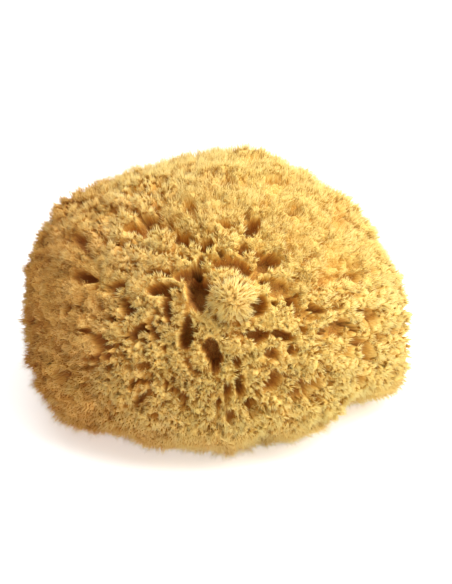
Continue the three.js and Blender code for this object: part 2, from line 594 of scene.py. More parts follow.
def knobs() -> TuftField:
    """Returns the smallest tufts, the blunt knobs of the front."""
    return TuftField(
        count=4400,
        stray=0.03,
        deepest_crack=4.6,
        narrow_crack=1.0,
        wide_crack=2.4,
        hole_share=0.5,
        small_hole=1.8,
        large_hole=4.0,
        shallow_hole=3.5,
        deep_hole=7.0,
        draw=16,
    )


@dataclass
class PitField:
    """All the pits: those of the front, the small holes, and scattered ones on the sides, back and crown."""

    scattered_count: int = 74
    stray: float = 0.11
    clearance: float = 15.0
    lowest_tilt: float = -16.0
    narrowest: float = 5.0
    widest: float = 8.0
    shallowest: float = 7.0
    deepest: float = 13.0
    draws: tuple[int, int, int, int] = (6, 7, 8, 9)
    lip: float = 0.7
    rim_range: tuple[float, float] = (0.6, 1.1)
    nearby: float = 0.8
    ragged: float = 0.45
    ragged_spacing: float = 3.6
    pits: list[Pit] = field(init=False)

    def __post_init__(self) -> None:
        """Adds the small holes and the scattered pits to those of the front."""
        self.pits = [*FRONT_PITS, *FINE_PITS, *self.scattered()]

    def scattered(self) -> list[Pit]:
        """Sets pits at even steps over the form, and leaves out those near a pit of the front or low down.

        Returns:
            The pits that are kept.
        """
        ways = spread_ways(self.scattered_count, self.stray)
        index = np.arange(self.scattered_count)
        wide, long, turned, deep = (chance(index, draw) for draw in self.draws)
        across = self.narrowest + (self.widest - self.narrowest) * wide
        length = across * (1 + long)
        turn = -90 + 180 * turned
        depth = self.shallowest + (self.deepest - self.shallowest) * deep
        bearing = np.degrees(np.arctan2(ways[:, 0], -ways[:, 1]))
        tilt = np.degrees(np.arcsin(ways[:, 2]))
        taken = np.stack([pit.way() for pit in FRONT_PITS])
        clear = (ways @ taken.T).max(axis=1) < math.cos(math.radians(self.clearance))
        keep = clear & (tilt > self.lowest_tilt)
        rows = np.stack((bearing, tilt, across, length, turn, depth), axis=1)[keep]
        return [Pit(*row) for row in rows.tolist()]

    def sink(self, form: SpongeForm, ways: Array, points: Array) -> Array:
        """Works out how deep the pits go at each point: full depth inside an oval, fading at a ragged rim.

        Args:
            form: the smooth form that the mouths lie on.
            ways: unit vectors, one a row.
            points: the form's points along them.

        Returns:
            Millimetres below the form, from the deepest pit at each point.
        """
        wobble = 1 + self.ragged * noise(points, self.ragged_spacing, Pattern.RIM)
        deepest = np.zeros(len(ways))
        for pit in self.pits:
            outward = pit.way()
            near = np.flatnonzero(ways @ outward > self.nearby)
            mouth = form.points(outward[None])[0]
            sideways, lengthwise = pit.sides()
            offset = points[near] - mouth
            halves = (pit.across / 2 + self.lip, pit.along / 2 + self.lip)
            share = np.hypot(offset @ sideways / halves[0], offset @ lengthwise / halves[1])
            depth = pit.depth * (1 - fade(*self.rim_range, share * wobble[near]))
            deepest[near] = np.maximum(deepest[near], depth)
        return deepest


@dataclass
class Skin:
    """What is known of the surface along a set of ways.

    Depth is below the crowns round each point, and blunt says how tight and thick the bundles there are.
    """

    ways: Array
    points: Array
    depth: Array
    blunt: Array
    on_cut: Array


@dataclass
class SpongeSurface:
    """The surface under the fibres: the form, less lumps, hollows between tufts and knobs, and pits."""

    form: SpongeForm
    tufts: TuftField
    tuftlets: TuftField
    knobs: TuftField
    pits: PitField
    raised: float = 0.5
    fine_raised: float = 0.7
    clump_drop: float = 2.0
    clump_spacing: float = 21.0
    lump_drop: float = 3.6
    lump_spacing: float = 8.5
    grain_rise: float = 0.45
    grain_spacing: float = 2.1
    warp: float = 1.3
    warp_spacing: float = 3.6
    fine_warp: float = 0.5
    fine_warp_spacing: float = 1.5
    small_warp: float = 0.6
    knob_warp: float = 0.4
    pit_warp: float = 0.6
    coarse_mean: float = 0.4
    coarse_swing: float = 0.4
    patch_spacing: float = 31.0
    smooth_tilt: float = -24.0
    rough_tilt: float = -4.0
    fine_cracks: float = 0.45
    band_cracks: float = 0.15
    front_calm: float = 0.4
    knob_calm: float = 0.7
    small_coarse_calm: float = 0.35
    small_knob_calm: float = 0.5
    knob_edge: float = 0.1
    big_tuft_radius: float = 8.8
    big_tuft_core: float = 0.75
    moat_depth: float = 4.5
    moat_width: float = 2.0
    pore_depth: float = 2.4
    pore_spacing: float = 2.8
    pore_range: tuple[float, float] = (0.15, 0.5)
    pore_shade: float = 2.0
    blunt_range: tuple[float, float] = (0.2, 0.7)
    # Painted shade: how far the darkening of the left, low side reaches
    side_shade_range: tuple[float, float] = (0.0, 0.9)
    # The next two lines warm the hue on the left, low side as painted shade; the one after warms the foot
    side_tint_range: tuple[float, float] = (-0.8, 0.9)
    side_shade_tint: float = 0.6
    foot_tint: float = 0.25
    hue_spacing: float = 9.0

    def coarse(self, ways: Array, smooth: Array) -> Array:
        """Works out how coarse the sponge is along each way.

        Broad noise plus the coarse patches' bells, cleared from the soft band round the foot.

        Args:
            ways: unit vectors, one a row.
            smooth: the form's points along them.

        Returns:
            Numbers from 0, fine, to 1, coarse.
        """
        total = self.coarse_mean + self.coarse_swing * noise(smooth, self.patch_spacing, Pattern.PATCH)
        for patch in COARSE_PATCHES:
            total = total + patch.over(ways)
        return np.clip(total, 0, 1) * self.above_band(ways)

    def above_band(self, ways: Array) -> Array:
        """Returns 0 in the soft band round the foot, climbing to 1 above it."""
        tilt = np.degrees(np.arcsin(np.clip(ways[:, 2], -1, 1)))
        return fade(self.smooth_tilt, self.rough_tilt, tilt)

    def side_shade_share(self, ways: Array) -> Array:
        """Returns the share of painted shade on the left, low side: 1 there, fading to 0 past its edge."""
        return fade(*self.side_shade_range, ways @ SHADED_SIDE.way())

    def shade_and_foot_tint(self, ways: Array) -> Array:
        """Returns how far the fibres are tinted from yellow towards tan: painted shade's warmer hue on the
        left, low side, and a warmer tint round the foot.
        """
        aside = fade(*self.side_tint_range, ways @ SHADED_SIDE.way())
        return self.side_shade_tint * aside + self.foot_tint * (1 - self.above_band(ways))

    def hue(self, points: Array) -> Array:
        """Returns noise from -1 to 1 for how the fibres' warmth varies from place to place."""
        return noise(points, self.hue_spacing, Pattern.HUE)

    def knobby(self, ways: Array) -> Array:
        """Returns how far the crowns are parted into knobs along each way, from 0 to 1."""
        return np.clip(sum(patch.over(ways) for patch in KNOB_PATCHES), 0, 1)

    def from_big_tuft(self, smooth: Array) -> Array:
        """Returns the way from the big front tuft's middle to each point, in shares of the tuft's radius."""
        return (smooth - self.form.points(BIG_TUFT.way()[None])) / self.big_tuft_radius

    def on_big_tuft(self, smooth: Array) -> Array:
        """Returns 1 on the big front tuft, fading to 0 at its edge."""
        off = np.linalg.norm(self.from_big_tuft(smooth), axis=1)
        return 1 - fade(self.big_tuft_core, 1.0, off)

    def hollows(self, ways: Array, smooth: Array, coarse: Array) -> Array:
        """Works out how far the surface is below the crowns round it.

        The point is first moved sideways by noise, so that every edge wanders. The deepest hollow there
        counts: between large tufts, small ones or knobs, the moat round the big tuft, or a pit.

        Args:
            ways: unit vectors, one a row.
            smooth: the form's points along them.
            coarse: how coarse the sponge is there.

        Returns:
            Millimetres below the crowns.
        """
        shift = [
            self.warp * noise(smooth, self.warp_spacing, broad)
            + self.fine_warp * noise(smooth, self.fine_warp_spacing, fine)
            for broad, fine in zip(WARP_SEEDS, FINE_WARP_SEEDS)
        ]
        shift = np.stack(shift, axis=1)
        middle = self.form.middle()
        band = self.above_band(ways)
        knobby = self.knobby(ways)
        calm = (1 - self.front_calm * FRONT.over(ways)) * (1 - self.knob_calm * knobby)
        share = band * (self.fine_cracks + (1 - self.fine_cracks) * coarse) * calm
        deepest = self.tufts.sink(smooth + shift, middle, share)
        calm = (1 - self.small_coarse_calm * coarse) * (1 - self.small_knob_calm * knobby)
        share = (self.band_cracks + (1 - self.band_cracks) * band) * calm
        deepest = np.maximum(deepest, self.tuftlets.sink(smooth + self.small_warp * shift, middle, share))
        near = np.flatnonzero(knobby > self.knob_edge)
        moved = (smooth + self.knob_warp * shift)[near]
        deepest[near] = np.maximum(deepest[near], self.knobs.sink(moved, middle, knobby[near]))
        deepest = deepest * (1 - self.on_big_tuft(smooth))
        deepest = np.maximum(deepest, self.moat(smooth + shift))
        return np.maximum(deepest, self.pits.sink(self.form, ways, smooth + self.pit_warp * shift))

    def moat(self, smooth: Array) -> Array:
        """Works out the depth of the ring round the big front tuft, a bell of the distance from its edge.

        Args:
            smooth: points on or near the form, one a row.

        Returns:
            Millimetres below the crowns.
        """
        off = np.linalg.norm(self.from_big_tuft(smooth), axis=1) * self.big_tuft_radius
        share = (off - self.big_tuft_radius - self.moat_width / 2) / self.moat_width
        return self.moat_depth * np.exp(-2 * share * share)

    def lumps(self, smooth: Array) -> Array:
        """Works out how far the crowns lie below the form: broad clumps, lumps and fine grain, as noise.

        Args:
            smooth: the form's points.

        Returns:
            Millimetres below the form.
        """
        clump = self.clump_drop * (1 + noise(smooth, self.clump_spacing, Pattern.CLUMP)) / 2
        lump = self.lump_drop * (1 + noise(smooth, self.lump_spacing, Pattern.LUMP)) / 2
        return clump + lump + self.grain_rise * noise(smooth, self.grain_spacing, Pattern.GRAIN)

    def skin(self, ways: Array) -> Skin:
        """Finds the surface along each way, ending at the flat cut, which has pores.

        Args:
            ways: unit vectors, one a row.

        Returns:
            The surface along them.
        """
        smooth = self.form.points(ways)
        coarse = self.coarse(ways, smooth)
        depth = self.hollows(ways, smooth, coarse)
        raised = self.raised + self.fine_raised * (1 - coarse)
        reach = self.form.radius(ways) + raised - self.lumps(smooth) - depth
        on_cut = self.form.to_cut(ways)
        holes = noise(on_cut[:, None] * ways, self.pore_spacing, Pattern.PORE)
        pore = self.pore_depth * fade(*self.pore_range, holes)
        cut = on_cut < reach
        reach = np.where(cut, on_cut - pore, reach)
        depth = np.where(cut, self.pore_shade * pore, depth)
        blunt = fade(*self.blunt_range, np.maximum(FRONT.over(ways), coarse))
        return Skin(ways, self.form.middle() + reach[:, None] * ways, depth, blunt, cut)

    def downhill(self, ways: Array, step: float = 0.02) -> Array:
        """Finds how steeply and which way the surface falls, from its depth a small step to each side.

        Args:
            ways: unit vectors, one a row.
            step: how far to either side, as a share of the radius.

        Returns:
            Sideways vectors as long as the slope, one at most.
        """
        fall = np.zeros_like(ways)
        for side in tangents(ways):
            ends = []
            for sign in (1, -1):
                there = unit(ways + sign * step * side)
                smooth = self.form.points(there)
                coarse = self.coarse(there, smooth)
                ends.append(self.hollows(there, smooth, coarse) + self.lumps(smooth))
            slope = (ends[0] - ends[1]) / (2 * step * self.form.radius(ways))
            fall += slope[:, None] * side
        return fall / np.maximum(1, np.linalg.norm(fall, axis=1, keepdims=True))

    def outward(self, ways: Array, step: float = 0.05) -> Array:
        """Finds the smooth form's outward unit normal along each way, from points a small step to its sides.

        Args:
            ways: unit vectors, one a row.
            step: how far to either side, as a share of the radius.

        Returns:
            The unit normals.
        """
        first, second = tangents(ways)
        right = self.form.points(unit(ways + step * first)) - self.form.points(unit(ways - step * first))
        up = self.form.points(unit(ways + step * second)) - self.form.points(unit(ways - step * second))
        return unit(np.cross(right, up))


class TintGroup:
    """The shader group that gives sponge fibre its colour: brown, amber, gold and pale by lightness."""

    NAME = "fibre_tint"
    STOPS = (0.0, 0.35, 0.65, 1.0)
    COLOURS = ("Brown", "Amber", "Gold", "Pale")

    @classmethod
    def made(cls) -> bpy.types.NodeTree:
        """Builds the group the first time and finds it afterwards.

        Returns:
            The node group.
        """
        found = bpy.data.node_groups.get(cls.NAME)
        if found:
            return found
        tree = bpy.data.node_groups.new(cls.NAME, "ShaderNodeTree")
        tree.interface.new_socket("Lightness", in_out="INPUT", socket_type="NodeSocketFloat")
        tree.interface.new_socket("Warmth", in_out="INPUT", socket_type="NodeSocketFloat")
        for name in (*cls.COLOURS, "Warm"):
            tree.interface.new_socket(name, in_out="INPUT", socket_type="NodeSocketColor")
        tree.interface.new_socket("Colour", in_out="OUTPUT", socket_type="NodeSocketColor")
        inside = tree.nodes.new("NodeGroupInput")
        outside = tree.nodes.new("NodeGroupOutput")
        colour = inside.outputs[cls.COLOURS[0]]
        for place, name in enumerate(cls.COLOURS[1:]):
            share = tree.nodes.new("ShaderNodeMapRange")
            share.inputs["From Min"].default_value = cls.STOPS[place]
            share.inputs["From Max"].default_value = cls.STOPS[place + 1]
            tree.links.new(inside.outputs["Lightness"], share.inputs["Value"])
            colour = cls.mixed(tree, "MIX", share.outputs["Result"], colour, inside.outputs[name])
        colour = cls.mixed(tree, "MULTIPLY", inside.outputs["Warmth"], colour, inside.outputs["Warm"])
        tree.links.new(colour, outside.inputs["Colour"])
        return tree

    @staticmethod
    def mixed(
        tree: bpy.types.NodeTree,
        blend: str,
        share: bpy.types.NodeSocket,
        first: bpy.types.NodeSocket,
        second: bpy.types.NodeSocket,
    ) -> bpy.types.NodeSocket:
        """Adds a colour mix to a tree.

        Args:
            tree: where the node goes.
            blend: Blender's name of the kind of mix.
            share: how much of the second colour shows.
            first: the colour at share 0.
            second: the colour at share 1.

        Returns:
            The mixed colour.
        """
        node = tree.nodes.new("ShaderNodeMix")
        node.data_type = "RGBA"
        node.blend_type = blend
        factor, near, far = (socket for socket in node.inputs if socket.enabled)
        tree.links.new(share, factor)
        tree.links.new(first, near)
        tree.links.new(second, far)
        return next(socket for socket in node.outputs if socket.enabled)


class TintSource(Enum):
    """Where a finish reads how light and how warm its fibre is."""

    ATTRIBUTES = "attributes"
    UV_MAP = "uv_map"


@dataclass(frozen=True)
class FibreFinish:
    """Dry sponge fibre: matt; the lightness it is given carries painted shade, brown in the depths and
    darker at the roots than at the pale tips.
    """

    name: str
    source: TintSource
    brown: Colour = (0.44, 0.195, 0.045)
    amber: Colour = (0.66, 0.37, 0.07)
    gold: Colour = (0.86, 0.64, 0.19)
    pale: Colour = (0.94, 0.825, 0.36)
    warm: Colour = (1.0, 0.83, 1.0)
    roughness: float = 0.9
    shine: float = 0.2
    fibre_scale: float = 110.0
    fibre_detail: float = 2.0
    fibre_range: tuple[float, float] = (0.3, 0.7)
    fibre_contrast: float = 0.24
    fibre_depth: float = 0.0007
    middle: tuple[float, float, float] = (0.0, 0.0, WAIST * MM)

    def material(self) -> bpy.types.Material:
        """Builds the finish.

        Returns:
            The material, its colour taken from the shared tint group.
        """
        material = bpy.data.materials.new(self.name)
        material.use_nodes = True
        tree = material.node_tree
        shader = tree.nodes["Principled BSDF"]
        shader.inputs["Roughness"].default_value = self.roughness
        shader.inputs["Specular IOR Level"].default_value = self.shine
        tint = tree.nodes.new("ShaderNodeGroup")
        tint.node_tree = TintGroup.made()
        colours = (self.brown, self.amber, self.gold, self.pale, self.warm)
        for socket, colour in zip((*TintGroup.COLOURS, "Warm"), colours):
            tint.inputs[socket].default_value = (*colour, 1.0)
        lightness, warmth = self.read(tree)
        if self.source is TintSource.ATTRIBUTES:
            lightness = self.add_fibres(tree, shader, lightness)
        tree.links.new(lightness, tint.inputs["Lightness"])
        tree.links.new(warmth, tint.inputs["Warmth"])
        tree.links.new(tint.outputs["Colour"], shader.inputs["Base Color"])
        return material

    def read(self, tree: bpy.types.NodeTree) -> tuple[bpy.types.NodeSocket, bpy.types.NodeSocket]:
        """Adds the nodes that read the fibre's lightness and warmth.

        Args:
            tree: the material's nodes.

        Returns:
            The lightness and the warmth.
        """
        if self.source is TintSource.UV_MAP:
            place = tree.nodes.new("ShaderNodeUVMap")
            place.uv_map = MAP_NAME
            parts = tree.nodes.new("ShaderNodeSeparateXYZ")
            tree.links.new(place.outputs["UV"], parts.inputs["Vector"])
            return parts.outputs["X"], parts.outputs["Y"]
        found = []
        for name in ("lightness", "warmth"):
            node = tree.nodes.new("ShaderNodeAttribute")
            node.attribute_name = name
            found.append(node.outputs["Fac"])
        return found[0], found[1]

    def add_fibres(
        self,
        tree: bpy.types.NodeTree,
        shader: bpy.types.Node,
        lightness: bpy.types.NodeSocket,
    ) -> bpy.types.NodeSocket:
        """Adds fibres that run straight out from the middle: specks on the crowns and streaks on the flanks.

        They are noise over the direction from the middle, which is the same all along such a line.

        Args:
            tree: the material's nodes.
            shader: the Principled node that the fibres' bump reaches.
            lightness: how light the skin is without them.

        Returns:
            The lightness with the fibres added.
        """
        place = tree.nodes.new("ShaderNodeTexCoord")
        offset = tree.nodes.new("ShaderNodeVectorMath")
        offset.operation = "SUBTRACT"
        offset.inputs[1].default_value = self.middle
        tree.links.new(place.outputs["Object"], offset.inputs[0])
        way = tree.nodes.new("ShaderNodeVectorMath")
        way.operation = "NORMALIZE"
        tree.links.new(offset.outputs["Vector"], way.inputs[0])
        fibres = tree.nodes.new("ShaderNodeTexNoise")
        fibres.inputs["Scale"].default_value = self.fibre_scale
        fibres.inputs["Detail"].default_value = self.fibre_detail
        tree.links.new(way.outputs["Vector"], fibres.inputs["Vector"])
        bump = tree.nodes.new("ShaderNodeBump")
        bump.inputs["Distance"].default_value = self.fibre_depth
        tree.links.new(fibres.outputs["Fac"], bump.inputs["Height"])
        tree.links.new(bump.outputs["Normal"], shader.inputs["Normal"])
        streak = tree.nodes.new("ShaderNodeMapRange")
        streak.inputs["From Min"].default_value = self.fibre_range[0]
        streak.inputs["From Max"].default_value = self.fibre_range[1]
        streak.inputs["To Min"].default_value = -self.fibre_contrast / 2
        streak.inputs["To Max"].default_value = self.fibre_contrast / 2
        tree.links.new(fibres.outputs["Fac"], streak.inputs["Value"])
        total = tree.nodes.new("ShaderNodeMath")
        total.operation = "ADD"
        tree.links.new(lightness, total.inputs[0])
        tree.links.new(streak.outputs["Result"], total.inputs[1])
        return total.outputs["Value"]


def add_piece(
    name: str,
    points: Array,
    faces: Array,
    places: Array,
    material: bpy.types.Material,
) -> bpy.types.Object:
    """Makes a mesh piece of the sponge that rides on its body.

    Args:
        name: the piece's name.
        points: vertices in millimetres, one a row.
        faces: vertex numbers, one face a row, all with as many corners.
        places: map coordinates, one row for each face corner in turn.
        material: its finish.

    Returns:
        The new object.
    """
    mesh = bpy.data.meshes.new(name)
    corners = faces.shape[1]
    mesh.vertices.add(len(points))
    mesh.vertices.foreach_set("co", (points * MM).astype(np.float32).ravel())
    mesh.loops.add(faces.size)
    mesh.loops.foreach_set("vertex_index", faces.astype(np.int32).ravel())
    mesh.polygons.add(len(faces))
    mesh.polygons.foreach_set("loop_start", np.arange(0, faces.size, corners, dtype=np.int32))
    mesh.update(calc_edges=True)
    layer = mesh.uv_layers.new(name=MAP_NAME)
    layer.uv.foreach_set("vector", places.astype(np.float32).ravel())
    mesh.materials.append(material)
    mesh.shade_smooth()
    piece = bpy.data.objects.new(name, mesh)
    bpy.context.scene.collection.objects.link(piece)
    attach(piece, SPONGE_BODY)
    log.info("%s: %d faces", name, len(faces))
    return piece


@dataclass
class SpongeBody:
    """The sponge's body: one closed skin with its tufts, cracks and pits."""

    surface: SpongeSurface
    finish: FibreFinish
    steps: int = 127
    finer_side: tuple[float, float, float] = (0.0, -0.22, 0.25)
    atlas: tuple[int, int] = (3, 2)
    map_margin: float = 0.012
    merge_digits: int = 7
    fine_depth: float = 8.5
    full_depth: float = 7.5
    # Painted shade: the skin is kept darker than the bristle tips, as it lies in their shade, and is
    # darkened further down in the hollows
    crown_light: float = 0.62
    pit_shade: float = 0.52
    pit_start: float = 0.07
    mottle: float = 0.06
    mottle_spacing: float = 2.6
    # Painted shade: how much darker the left, low side is made
    side_shade_darker: float = 0.16
    warm_mean: float = 0.1
    warm_swing: float = 0.2

    def cube_ways(self) -> tuple[Array, Array, Array]:
        """Lays a grid over the six faces of a cube and looks along it from the middle.

        A grid point's two parameters run from -1 to 1 and are stretched by a tangent, which evens the steps
        out once the cube is blown up to a sphere. The sphere is then moved off its middle, which crowds the
        points on the finer side.

        Returns:
            The unit vectors with shared edges merged, the quads and each quad corner's map place.
        """
        line = np.linspace(-1, 1, self.steps + 1)
        first, second = (grid.ravel() for grid in np.meshgrid(line, line, indexing="ij"))
        stretched = np.tan(np.column_stack((first, second)) * math.pi / 4)
        flat = np.column_stack((stretched, np.ones(first.size)))
        number = np.arange(first.size).reshape(self.steps + 1, -1)
        quad = np.stack((number[:-1, :-1], number[1:, :-1], number[1:, 1:], number[:-1, 1:]), axis=-1)
        quad = quad.reshape(-1, 4)
        ways = []
        quads = []
        places = []
        cell = np.column_stack((first, second)) * (0.5 - self.map_margin) + 0.5
        for side, (back, axis) in enumerate(np.ndindex(2, 3)):
            turned = np.roll(flat, axis, axis=1) * (1 - 2 * back)
            ways.append(turned)
            quads.append((quad[:, ::-1] if back else quad) + side * first.size)
            places.append((cell + (axis, back)) / self.atlas)
        ways = unit(np.concatenate(ways))
        quads = np.concatenate(quads)
        places = np.concatenate(places)[quads.ravel()]
        merged, number = np.unique(ways.round(self.merge_digits), axis=0, return_inverse=True)
        return unit(unit(merged) + self.finer_side), number.reshape(-1)[quads], places

    def build(self) -> bpy.types.Object:
        """Makes the body and puts it in place of the CAD solid.

        Returns:
            The body's object.
        """
        ways, quads, places = self.cube_ways()
        skin = self.surface.skin(ways)
        piece = add_piece("sponge_body", skin.points, quads, places, self.finish.material())
        looks = {"lightness": self.lightness(skin), "warmth": self.warmth(skin)}
        for name, values in looks.items():
            attribute = piece.data.attributes.new(name, "FLOAT", "POINT")
            attribute.data.foreach_set("value", np.clip(values, 0, 1).astype(np.float32))
        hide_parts(SPONGE_NODE)
        return piece

    def lightness(self, skin: Skin) -> Array:
        """Works out how light the body is: mottled, with painted shade that darkens it down in the hollows
        and on the left, low side.

        Args:
            skin: the body's surface.

        Returns:
            A number for each point, 0 for brown and 1 for pale.
        """
        full_depth = self.fine_depth + (self.full_depth - self.fine_depth) * skin.blunt
        # Painted shade: darker with depth below the crowns
        sunk = fade(self.pit_start, 1.0, skin.depth / full_depth)
        mottle = noise(skin.points, self.mottle_spacing, Pattern.MOTTLE)
        # Painted shade: the left, low side is darkened
        brown = self.surface.side_shade_share(skin.ways)
        return self.crown_light - self.pit_shade * sunk + self.mottle * mottle - self.side_shade_darker * brown

    def warmth(self, skin: Skin) -> Array:
        """Returns how far the body goes from yellow to tan, by chance, with painted shade's warmer hue on
        the left, low side and a warmer tint round the foot, from 0 to 1 before it is clipped.
        """
        varied = self.warm_mean + self.warm_swing * self.surface.hue(skin.points)
        return varied + self.surface.shade_and_foot_tint(skin.ways)


class Quarter(Enum):
    """The four quarters of the coat, by the signs of X and Y."""

    FRONT_LEFT = (-1, -1)
    FRONT_RIGHT = (1, -1)
    BACK_LEFT = (-1, 1)
    BACK_RIGHT = (1, 1)

    def holds(self, points: Array) -> Array:
        """Returns which points lie in the quarter."""
        signs = np.where(points[:, :2] < 0, -1, 1)
        return (signs == self.value).all(axis=1)


@dataclass
class BristleCoat:
    """The coat: bundles of stiff, tapered bristles that lean out over the cracks and pits beside them."""

    surface: SpongeSurface
    finish: FibreFinish
    seed: int = 7
    bundles: int = 45000
    bundle_stray: float = 0.01
    bristles: int = 8
    tight_bundle: float = 0.65
    loose_bundle: float = 1.5
    thin: float = 0.12
    thick: float = 0.26
    rooted: float = 0.8
    floor_gap: float = 0.2
    bare_share: float = 0.85
    bare_range: tuple[float, float] = (1.0, 3.5)
    crown_depth: float = 0.5
    full_depth: float = 9.0
    shortest: float = 2.0
    longest: float = 4.4
    pit_shorter: float = 0.6
    front_shorter: float = 0.25
    big_tuft_longer: float = 0.9
    crown_length: float = 0.55
    slope_range: tuple[float, float] = (0.1, 0.7)
    hem_longer: float = 0.9
    hem_height: float = 5.0
    shaggy: float = 0.6
    shag_spacing: float = 3.2
    rim_shorter: float = 0.15
    uneven: float = 0.25
    lean: float = 0.42
    lowest_lean: float = -0.3
    big_tuft_lean: float = 1.1
    bundle_tilt: float = 0.2
    soft_tilt: float = 0.4
    bristle_tilt: float = 0.16
    brush_range: tuple[float, float] = (-0.4, 0.2)
    bundle_tone: float = 0.03
    bristle_tone: float = 0.03
    patch_tone: float = 0.05
    patch_spacing: float = 6.0
    big_tuft_tone: float = 0.03
    # Painted shade: how much darker the left, low side is made, in streaks
    side_shade_darker: float = 0.34
    streaky: float = 1.2
    streak_spacing: float = 2.6
    streak_squash: tuple[float, float, float] = (0.5, 0.5, 1.4)
    # Painted shade: roots darker than tips, and tips darker down in the hollows, for the shade between
    # bristles and in the pits
    foot_light: float = 0.34
    tip_light: float = 0.96
    pit_shade: float = 0.5
    light_range: tuple[float, float] = (0.01, 0.98)
    warm_mean: float = 0.02
    warm_swing: float = 0.15
    bundle_warmth: float = 0.05
    warm_range: tuple[float, float] = (0.05, 0.9)
    map_lift: float = 0.01
    map_spread: tuple[float, float, float, float] = (-0.04, 0.0, 0.04, 0.02)

    def axes(self, skin: Skin, fall: Array, on_big: Array, rng: np.random.Generator) -> Array:
        """Points each bundle outwards, leaning downhill and a little at random.

        Bundles on the big front tuft lean away from its middle instead, in step with their distance.

        Args:
            skin: the surface under the bundles.
            fall: which way and how steeply it falls.
            on_big: 1 on the big front tuft, 0 off it.
            rng: the coat's random numbers.

        Returns:
            Unit vectors, one for each bundle.
        """
        surface = self.surface
        outward = surface.outward(skin.ways)
        from_big = surface.from_big_tuft(surface.form.points(skin.ways))
        sideways = self.lean * fall
        sideways = sideways + on_big[:, None] * (self.big_tuft_lean * from_big - sideways)
        sideways -= along(sideways, outward) * outward
        tilt = self.bundle_tilt * (self.soft_tilt + (1 - self.soft_tilt) * skin.blunt)[:, None]
        axis = unit(outward + sideways)
        axis[:, 2] = np.maximum(axis[:, 2], self.lowest_lean)
        return unit(unit(axis) + tilt * rng.normal(size=outward.shape))

    def standing(self, skin: Skin, rng: np.random.Generator) -> Array:
        """Draws which bundles stand: none on the flat cut or at the floor, and fewer down in the hollows.

        Args:
            skin: the surface under the bundles.
            rng: the coat's random numbers.

        Returns:
            True for each bundle that stands.
        """
        bare = self.bare_share * fade(*self.bare_range, skin.depth)
        above = ~skin.on_cut & (skin.points[:, 2] > self.floor_gap)
        return above & (rng.random(len(bare)) > bare)

    def lengths(self, skin: Skin, fall: Array, on_big: Array, rng: np.random.Generator) -> Array:
        """Draws how long each bundle is.

        Bundles are shorter in the hollows, on flat crowns and on the front, longer on the big front tuft
        and along the hem, and shaggy where they aren't blunt.

        Args:
            skin: the surface under the bundles.
            fall: which way and how steeply it falls.
            on_big: 1 on the big front tuft, 0 off it.
            rng: the coat's random numbers.

        Returns:
            Millimetres, one for each bundle.
        """
        length = rng.uniform(self.shortest, self.longest, len(fall))
        length *= (1 - self.pit_shorter * self.sunk(skin)) * (1 + self.big_tuft_longer * on_big)
        length *= 1 - self.front_shorter * FRONT.over(skin.ways)
        edge = np.maximum(fade(*self.slope_range, np.linalg.norm(fall, axis=1)), on_big)
        length *= self.crown_length + (1 - self.crown_length) * edge
        length *= 1 + self.hem_longer * (1 - fade(0.0, self.hem_height, skin.points[:, 2]))
        shag = noise(skin.points, self.shag_spacing, Pattern.SHAG)
        return length * (1 + self.shaggy * (1 - skin.blunt) * shag)

    def sunk(self, skin: Skin) -> Array:
        """Returns how far down each bundle stands, from 0 on a crown to 1 in the deep."""
        return fade(self.crown_depth, self.full_depth, skin.depth)

    def tones(self, skin: Skin, on_big: Array, rng: np.random.Generator) -> Array:
        """Draws how much lighter each bundle is than its depth gives, with painted shade in streaks on the
        left, low side.

        Args:
            skin: the surface under the bundles.
            on_big: 1 on the big front tuft, 0 off it.
            rng: the coat's random numbers.

        Returns:
            What to add to each bundle's lightness.
        """
        tone = rng.normal(0, self.bundle_tone, len(on_big))
        tone += self.patch_tone * noise(skin.points, self.patch_spacing, Pattern.TONE)
        tone += self.big_tuft_tone * on_big
        # Painted shade: streaks of darkening on the left, low side
        squashed = skin.points * self.streak_squash
        streak = 1 + self.streaky * noise(squashed, self.streak_spacing, Pattern.STREAK)
        return tone - self.side_shade_darker * self.surface.side_shade_share(skin.ways) * streak

    def warmths(self, skin: Skin, rng: np.random.Generator) -> Array:
        """Returns how far each bundle goes from yellow to tan, by place and by chance, with painted shade's
        warmer hue on the left, low side and a warmer tint round the foot.
        """
        varied = self.warm_mean + self.warm_swing * self.surface.hue(skin.points)
        return varied + rng.normal(0, self.bundle_warmth, len(varied)) + self.surface.shade_and_foot_tint(skin.ways)

    def build(self) -> list[bpy.types.Object]:
        """Makes the coat, a piece for each quarter.

        Returns:
            The pieces.
        """
        rng = np.random.default_rng(self.seed)
        skin = self.surface.skin(spread_ways(self.bundles, self.bundle_stray))
        fall = self.surface.downhill(skin.ways)
        on_big = self.surface.on_big_tuft(self.surface.form.points(skin.ways))
        axis = self.axes(skin, fall, on_big, rng)
        standing = self.standing(skin, rng)
        length = self.lengths(skin, fall, on_big, rng)
        looks = np.column_stack((self.sunk(skin), self.tones(skin, on_big, rng), self.warmths(skin, rng)))
        radius = self.loose_bundle + (self.tight_bundle - self.loose_bundle) * skin.blunt
        thickness = self.thin + (self.thick - self.thin) * skin.blunt
        shape = np.column_stack((length, radius, thickness, skin.blunt))
        material = self.finish.material()
        pieces = []
        for quarter in Quarter:
            chosen = standing & quarter.holds(skin.points)
            rows = (skin.points[chosen], axis[chosen], shape[chosen], looks[chosen])
            pieces.append(self.piece("bristles_" + quarter.name.lower(), *rows, material, rng))
        return pieces

